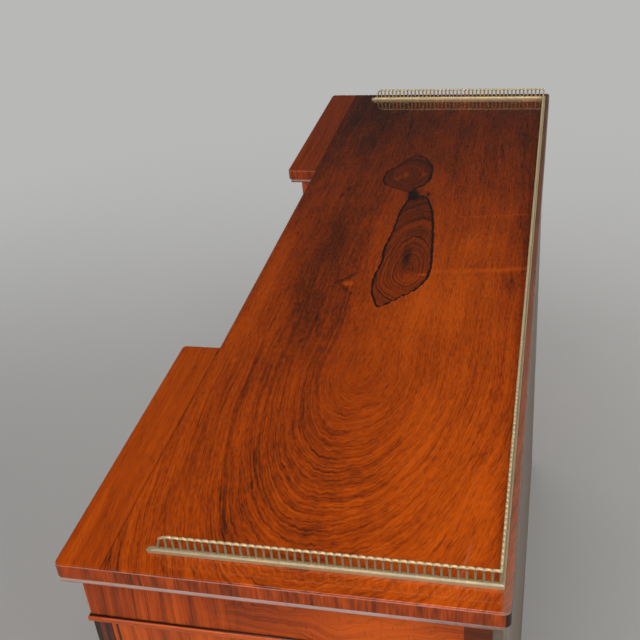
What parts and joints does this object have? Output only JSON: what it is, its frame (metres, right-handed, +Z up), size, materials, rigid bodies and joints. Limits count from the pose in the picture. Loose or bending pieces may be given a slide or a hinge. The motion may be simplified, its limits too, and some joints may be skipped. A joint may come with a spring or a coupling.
{
  "type": "chiffonier",
  "caption": "Low polished rosewood cupboard with a set-back open middle between hinged wing doors, on a plinth, with a pierced brass gallery round its top.",
  "frame": {"origin": "on the floor under the middle of the top's length and depth", "axes": "+X along the length towards the right-hand end, +Y towards the back, +Z up"},
  "size_m": [1.26, 0.416, 0.9205],
  "materials": {
    "top_veneer": "high gloss polish",
    "rosewood": "gloss polish",
    "secondary_wood": "unpolished, aged",
    "gallery_brass": "aged, softly polished",
    "lock_brass": "dull",
    "steel": "worn"
  },
  "bodies": {
    "carcass": {"top_board": "top_veneer", "bead_moulding": "rosewood", "astragal_moulding": "rosewood", "plinth_moulding": "rosewood", "frieze_left_end": "rosewood", "frieze_right_end": "rosewood", "frieze_left_wing": "rosewood", "frieze_right_wing": "rosewood", "frieze_centre": "rosewood", "frieze_returns": "rosewood", "left_end_panel": "rosewood", "right_end_panel": "rosewood", "plinth_centre": "rosewood", "plinth_ends": "rosewood", "plinth_wings": "rosewood", "plinth_returns": "rosewood", "frieze_back": "secondary_wood", "corner_blocks": "secondary_wood", "case_bottom": "secondary_wood", "case_top": "secondary_wood", "back_boards": "secondary_wood", "left_shelf": "secondary_wood", "centre_shelf": "secondary_wood", "right_shelf": "secondary_wood", "shelf_bearers": "secondary_wood", "plinth_back": "secondary_wood", "left_partition": "secondary_wood", "right_partition": "secondary_wood", "gallery_base_left": "gallery_brass", "gallery_base_right": "gallery_brass", "gallery_base_back": "gallery_brass", "gallery_arcade_left": "gallery_brass", "gallery_arcade_right": "gallery_brass", "gallery_arcade_back": "gallery_brass", "case_hinge_leaves": "gallery_brass"},
    "left_door": {"left_lock_stile": "rosewood", "left_hinge_stile": "rosewood", "left_bottom_rail": "rosewood", "left_top_rail": "rosewood", "left_panel": "rosewood", "left_panel_bead": "rosewood", "left_door_hinge_leaves": "gallery_brass", "left_lock_case": "lock_brass", "left_escutcheon": "gallery_brass"},
    "left_key": {"left_key": "steel"},
    "left_bolt": {"left_bolt": "steel"},
    "right_door": {"right_lock_stile": "rosewood", "right_hinge_stile": "rosewood", "right_bottom_rail": "rosewood", "right_top_rail": "rosewood", "right_panel": "rosewood", "right_panel_bead": "rosewood", "right_door_hinge_leaves": "gallery_brass", "right_lock_case": "lock_brass", "right_escutcheon": "gallery_brass"},
    "right_key": {"right_key": "steel"},
    "right_bolt": {"right_bolt": "steel"}
  },
  "joints": [
    {"name": "left_door_swing", "type": "hinge", "parent": "carcass", "child": "left_door", "pos_m": [-0.6256, -0.1697, 0.456], "axis": [0, 0, -1], "range_deg": [0, 170]},
    {"name": "left_key_turn", "type": "hinge", "parent": "left_door", "child": "left_key", "pos_m": [-0.31, -0.188, 0.48], "axis": [0, 1, 0], "range_deg": [0, 180]},
    {"name": "left_bolt_throw", "type": "slide", "parent": "left_door", "child": "left_bolt", "axis": [1, 0, 0], "range_m": [0, 0.01]},
    {"name": "right_door_swing", "type": "hinge", "parent": "carcass", "child": "right_door", "pos_m": [0.6256, -0.1697, 0.456], "axis": [0, 0, 1], "range_deg": [0, 170]},
    {"name": "right_key_turn", "type": "hinge", "parent": "right_door", "child": "right_key", "pos_m": [0.31, -0.188, 0.48], "axis": [0, -1, 0], "range_deg": [0, 180]},
    {"name": "right_bolt_throw", "type": "slide", "parent": "right_door", "child": "right_bolt", "axis": [-1, 0, 0], "range_m": [0, 0.01]}
  ],
  "couplings": [
    {"joint": "left_key_turn", "follows": "left_bolt_throw", "rad_per_m": 314.15},
    {"joint": "right_key_turn", "follows": "right_bolt_throw", "rad_per_m": 314.15}
  ]
}
